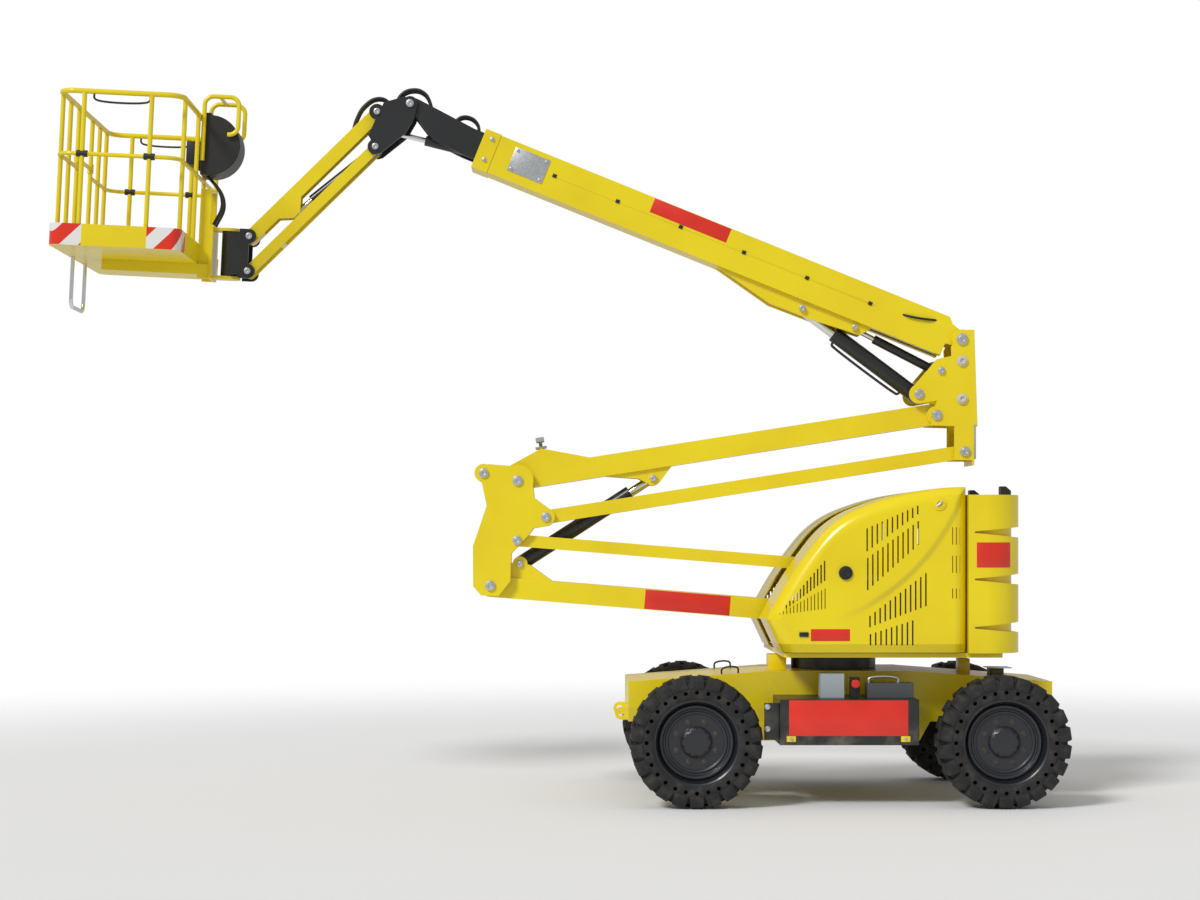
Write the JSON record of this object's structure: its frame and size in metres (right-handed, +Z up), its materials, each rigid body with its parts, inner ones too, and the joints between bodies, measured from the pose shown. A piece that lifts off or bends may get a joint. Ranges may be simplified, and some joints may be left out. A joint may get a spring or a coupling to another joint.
{
  "type": "articulating boom lift",
  "caption": "Self-propelled articulating boom lift with a parallelogram riser, telescopic boom, jib and basket on a slewing turret over a four-wheel chassis.",
  "frame": {"origin": "on the ground under the slew axis, midway between the axles", "axes": "+X to the counterweight and the steered wheels, +Y to the left side seen from the basket side looking to +X, +Z up"},
  "size_m": [6.5807, 2.15, 4.675],
  "materials": {
    "yellow_paint": "gloss",
    "black_paint": "satin",
    "rim_paint": "satin",
    "tyre_rubber": "matte",
    "hood_plastic": "gloss",
    "counterweight_paint": "gloss",
    "chrome": "polished",
    "engine": "matte",
    "grey_box": "satin",
    "black_plastic": "satin",
    "rubber": "matte"
  },
  "bodies": {
    "chassis": {"chassis_frame": "yellow_paint", "rear_axle": "black_paint", "front_axle": "black_paint", "slew_ring": "black_paint", "chassis_fittings": "grey_box", "side_box_left": "black_paint", "side_box_right": "black_paint"},
    "steering_left": {"steering_knuckle_left": "black_paint"},
    "steering_right": {"steering_knuckle_right": "black_paint"},
    "tie_rod": {"tie_rod": "black_paint"},
    "turret": {"turret_frame": "black_paint", "counterweight": "counterweight_paint", "power_pack": "engine", "tail_lamp": "black_plastic"},
    "hood_left": {"hood_left": "hood_plastic"},
    "hood_right": {"hood_right": "hood_plastic"},
    "wheel_front_left": {"tyre_front_left": "tyre_rubber", "rim_front_left": "rim_paint"},
    "wheel_front_right": {"tyre_front_right": "tyre_rubber", "rim_front_right": "rim_paint"},
    "wheel_rear_left": {"tyre_rear_left": "tyre_rubber", "rim_rear_left": "rim_paint"},
    "wheel_rear_right": {"tyre_rear_right": "tyre_rubber", "rim_rear_right": "rim_paint"},
    "lower_arm": {"lower_arm": "yellow_paint"},
    "lower_link": {"lower_link": "yellow_paint"},
    "knuckle": {"knuckle": "yellow_paint"},
    "upper_link": {"upper_link": "yellow_paint"},
    "mast": {"mast": "yellow_paint"},
    "riser_barrel": {"riser_barrel": "black_paint"},
    "riser_rod": {"riser_rod": "chrome"},
    "boom_outer": {"boom_outer": "yellow_paint"},
    "boom_inner": {"boom_inner": "black_paint"},
    "lift_barrel": {"lift_barrel": "black_paint"},
    "lift_rod": {"lift_rod": "chrome"},
    "level_barrel": {"level_barrel": "black_paint"},
    "level_rod": {"level_rod": "chrome"},
    "slave_barrel": {"slave_barrel": "black_paint"},
    "slave_rod": {"slave_rod": "chrome"},
    "jib_upper_arm": {"jib_upper_arm": "yellow_paint"},
    "jib_lower_arm": {"jib_lower_arm": "yellow_paint"},
    "jib_barrel": {"jib_barrel": "black_paint"},
    "jib_rod": {"jib_rod": "chrome"},
    "platform_bracket": {"platform_bracket": "black_paint"},
    "gate_bar": {"gate_bar": "yellow_paint"},
    "upper_arm": {"upper_arm": "yellow_paint", "boom_rest": "rubber"},
    "head": {"jib_head": "black_paint"},
    "basket": {"basket_carrier": "yellow_paint", "basket_floor": "yellow_paint", "basket_rails_left": "yellow_paint", "basket_rails_right": "yellow_paint", "basket_rails_front": "yellow_paint", "basket_rails_rear": "yellow_paint", "basket_step": "chrome", "console": "black_plastic", "console_guard": "yellow_paint"}
  },
  "joints": [
    {"name": "steer_left", "type": "hinge", "parent": "chassis", "child": "steering_left", "pos_m": [0.975, 0.79, 0.42], "axis": [0, 0, 1], "range_deg": [-35, 35]},
    {"name": "steer_right", "type": "hinge", "parent": "chassis", "child": "steering_right", "pos_m": [0.975, -0.79, 0.42], "axis": [0, 0, 1], "range_deg": [-36, 36]},
    {"name": "tie_rod_slide", "type": "slide", "parent": "chassis", "child": "tie_rod", "axis": [0, -1, 0], "range_m": [-0.12, 0.12]},
    {"name": "wheel_front_left_spin", "type": "hinge", "parent": "steering_left", "child": "wheel_front_left", "pos_m": [0.975, 0, 0.42], "axis": [0, 1, 0], "continuous": true},
    {"name": "wheel_front_right_spin", "type": "hinge", "parent": "steering_right", "child": "wheel_front_right", "pos_m": [0.975, 0, 0.42], "axis": [0, 1, 0], "continuous": true},
    {"name": "wheel_rear_left_spin", "type": "hinge", "parent": "chassis", "child": "wheel_rear_left", "pos_m": [-0.975, 0, 0.42], "axis": [0, 1, 0], "continuous": true},
    {"name": "wheel_rear_right_spin", "type": "hinge", "parent": "chassis", "child": "wheel_rear_right", "pos_m": [-0.975, 0, 0.42], "axis": [0, 1, 0], "continuous": true},
    {"name": "slew", "type": "hinge", "parent": "chassis", "child": "turret", "pos_m": [0, 0, 0.945], "axis": [0, 0, 1], "range_deg": [-177.5, 177.5]},
    {"name": "hood_left_lift", "type": "hinge", "parent": "turret", "child": "hood_left", "pos_m": [0, 0.215, 1.975], "axis": [1, 0, 0], "range_deg": [0, 65]},
    {"name": "hood_right_lift", "type": "hinge", "parent": "turret", "child": "hood_right", "pos_m": [0, -0.215, 1.975], "axis": [-1, 0, 0], "range_deg": [0, 65]},
    {"name": "riser_lift", "type": "hinge", "parent": "turret", "child": "lower_arm", "pos_m": [0.514, 0, 1.1675], "axis": [0, 1, 0], "range_deg": [-1.5, 62]},
    {"name": "lower_link_swing", "type": "hinge", "parent": "turret", "child": "lower_link", "pos_m": [0.694, 0, 1.4695], "axis": [0, 1, 0], "range_deg": [-2.5, 63]},
    {"name": "knuckle_level", "type": "hinge", "parent": "lower_arm", "child": "knuckle", "pos_m": [-2.30473, 0, 1.39627], "axis": [0, 1, 0], "range_deg": [-63, 2.5]},
    {"name": "upper_arm_lift", "type": "hinge", "parent": "knuckle", "child": "upper_arm", "pos_m": [-2.12103, 0, 2.09687], "axis": [0, -1, 0], "range_deg": [-2.5, 63]},
    {"name": "upper_link_swing", "type": "hinge", "parent": "knuckle", "child": "upper_link", "pos_m": [-1.93303, 0, 1.85387], "axis": [0, -1, 0], "range_deg": [-2.5, 63]},
    {"name": "mast_level", "type": "hinge", "parent": "upper_arm", "child": "mast", "pos_m": [0.673, 0, 2.5339], "axis": [0, -1, 0], "range_deg": [-63, 2.5]},
    {"name": "riser_barrel_swing", "type": "hinge", "parent": "lower_arm", "child": "riser_barrel", "pos_m": [-2.1064, 0, 1.5407], "axis": [0, 1, 0], "range_deg": [-109.45, 3.62]},
    {"name": "riser_rod_slide", "type": "slide", "parent": "riser_barrel", "child": "riser_rod", "axis": [0.8406, 0, 0.5417], "range_m": [-0.01933, 0.59724]},
    {"name": "boom_lift", "type": "hinge", "parent": "mast", "child": "boom_outer", "pos_m": [0.84159, 0, 3.0384], "axis": [0, 1, 0], "range_deg": [-28, 50]},
    {"name": "lift_barrel_swing", "type": "hinge", "parent": "mast", "child": "lift_barrel", "pos_m": [0.555, 0, 2.6739], "axis": [0, 1, 0], "range_deg": [-27.21, 47.8]},
    {"name": "lift_rod_slide", "type": "slide", "parent": "lift_barrel", "child": "lift_rod", "axis": [-0.8002, 0, 0.5997], "range_m": [-0.21252, 0.37558]},
    {"name": "level_barrel_swing", "type": "hinge", "parent": "mast", "child": "level_barrel", "pos_m": [0.703, 0, 2.8299], "axis": [0, 1, 0], "range_deg": [-28.94, 50.9]},
    {"name": "level_rod_slide", "type": "slide", "parent": "level_barrel", "child": "level_rod", "axis": [-0.8878, 0, 0.4603], "range_m": [-0.11923, 0.20898]},
    {"name": "boom_extend", "type": "slide", "parent": "boom_outer", "child": "boom_inner", "axis": [-0.9272, 0, 0.3746], "range_m": [0, 1.7]},
    {"name": "head_level", "type": "hinge", "parent": "boom_inner", "child": "head", "pos_m": [-2.84197, 0, 4.62049], "axis": [0, 1, 0], "range_deg": [-51, 29]},
    {"name": "slave_barrel_swing", "type": "hinge", "parent": "boom_inner", "child": "slave_barrel", "pos_m": [-2.38979, 0, 4.30083], "axis": [0, 1, 0], "range_deg": [-2.83, 2.03]},
    {"name": "slave_rod_slide", "type": "slide", "parent": "slave_barrel", "child": "slave_rod", "axis": [-0.9701, 0, 0.2427], "range_m": [-0.17339, 0.0993]},
    {"name": "jib_lift", "type": "hinge", "parent": "head", "child": "jib_upper_arm", "pos_m": [-3.06288, 0, 4.56622], "axis": [0, 1, 0], "range_deg": [-26, 114]},
    {"name": "jib_lower_arm_swing", "type": "hinge", "parent": "head", "child": "jib_lower_arm", "pos_m": [-3.07431, 0, 4.3325], "axis": [0, 1, 0], "range_deg": [-27, 115]},
    {"name": "platform_level", "type": "hinge", "parent": "jib_upper_arm", "child": "platform_bracket", "pos_m": [-3.91815, 0, 3.73306], "axis": [0, 1, 0], "range_deg": [-115, 27]},
    {"name": "jib_barrel_swing", "type": "hinge", "parent": "head", "child": "jib_barrel", "pos_m": [-3.07431, 0, 4.3325], "axis": [0, 1, 0], "range_deg": [-26.76, 113.94]},
    {"name": "jib_rod_slide", "type": "slide", "parent": "jib_barrel", "child": "jib_rod", "axis": [-0.7823, 0, -0.6229], "range_m": [-0.08596, 0.35998]},
    {"name": "platform_rotate", "type": "hinge", "parent": "platform_bracket", "child": "basket", "pos_m": [-4.04871, 0, 3.6223], "axis": [0.0489, 0, 0.9988], "range_deg": [-70, 70]},
    {"name": "gate_lift", "type": "slide", "parent": "basket", "child": "gate_bar", "axis": [0.0489, 0, 0.9988], "range_m": [0, 0.28]}
  ],
  "couplings": [
    {"joint": "steer_right", "follows": "steer_left", "ratio": 1},
    {"joint": "tie_rod_slide", "follows": "steer_left", "m_per_rad": 0.125},
    {"joint": "lower_link_swing", "follows": "riser_lift", "ratio": 1},
    {"joint": "knuckle_level", "follows": "riser_lift", "ratio": -1},
    {"joint": "upper_arm_lift", "follows": "riser_lift", "ratio": 1},
    {"joint": "upper_link_swing", "follows": "riser_lift", "ratio": 1},
    {"joint": "mast_level", "follows": "riser_lift", "ratio": -1},
    {"joint": "riser_barrel_swing", "follows": "riser_lift", "ratio": -1.7492},
    {"joint": "riser_rod_slide", "follows": "riser_lift", "m_per_rad": 0.5473},
    {"joint": "lift_barrel_swing", "follows": "boom_lift", "ratio": 0.93606},
    {"joint": "lift_rod_slide", "follows": "boom_lift", "m_per_rad": 0.42465},
    {"joint": "level_barrel_swing", "follows": "boom_lift", "ratio": 0.998},
    {"joint": "level_rod_slide", "follows": "boom_lift", "m_per_rad": 0.23374},
    {"joint": "head_level", "follows": "boom_lift", "ratio": -1},
    {"joint": "slave_barrel_swing", "follows": "boom_lift", "ratio": -0.03661},
    {"joint": "slave_rod_slide", "follows": "boom_lift", "m_per_rad": -0.19296},
    {"joint": "jib_lower_arm_swing", "follows": "jib_lift", "ratio": 1},
    {"joint": "platform_level", "follows": "jib_lift", "ratio": -1},
    {"joint": "jib_barrel_swing", "follows": "jib_lift", "ratio": 0.99074},
    {"joint": "jib_rod_slide", "follows": "jib_lift", "m_per_rad": 0.17841}
  ]
}
